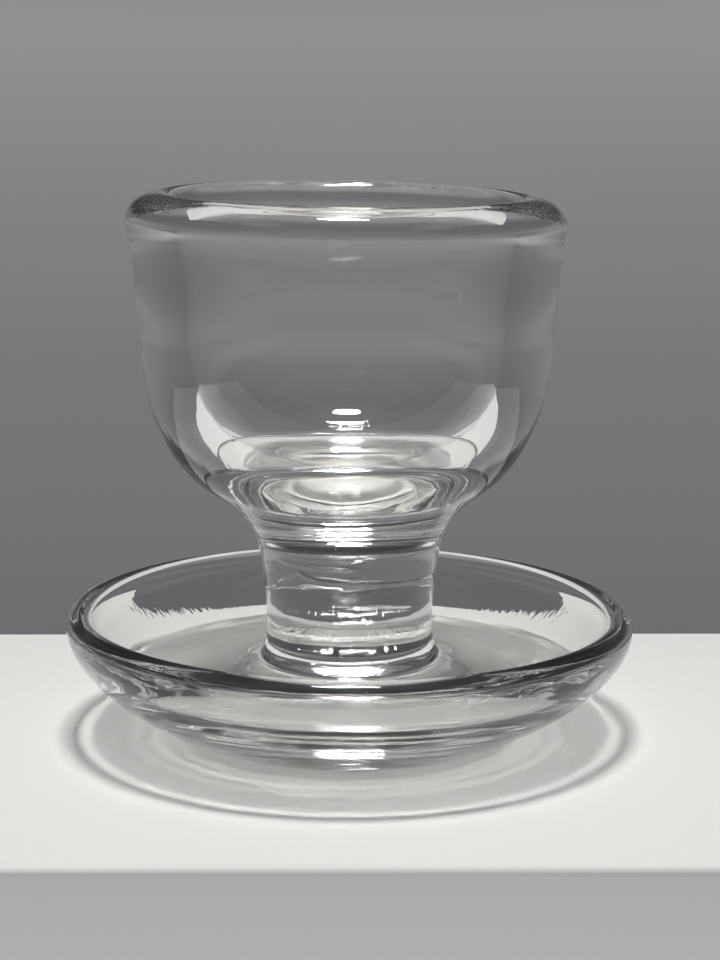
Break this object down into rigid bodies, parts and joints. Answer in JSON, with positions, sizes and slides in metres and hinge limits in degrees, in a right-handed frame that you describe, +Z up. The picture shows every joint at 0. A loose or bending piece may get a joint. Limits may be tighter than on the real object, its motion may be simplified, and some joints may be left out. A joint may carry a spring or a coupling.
{
  "type": "footed glass cup with saucer",
  "caption": "Heavy clear glass cup with a round-bottomed hollow, on a short waisted stem fused to a wide dished saucer foot; holds an egg, a candle or a small serving.",
  "frame": {"origin": "centre of the saucer foot's flat base, on the surface that it stands on", "axes": "+Z up along the glass's turning axis; +X and +Y lie in the base plane, and the glass is alike all round"},
  "size_m": [0.09, 0.09, 0.0855],
  "materials": {
    "bowl_glass": "clear, colourless, fire-polished, with faint ripples",
    "stem_glass": "clear, colourless, fire-polished, with faint cords inside",
    "saucer_glass": "clear, colourless, fire-polished, with a flat polished base"
  },
  "bodies": {
    "root": {"cup_bowl": "bowl_glass", "stem": "stem_glass", "saucer_foot": "saucer_glass"}
  },
  "joints": []
}
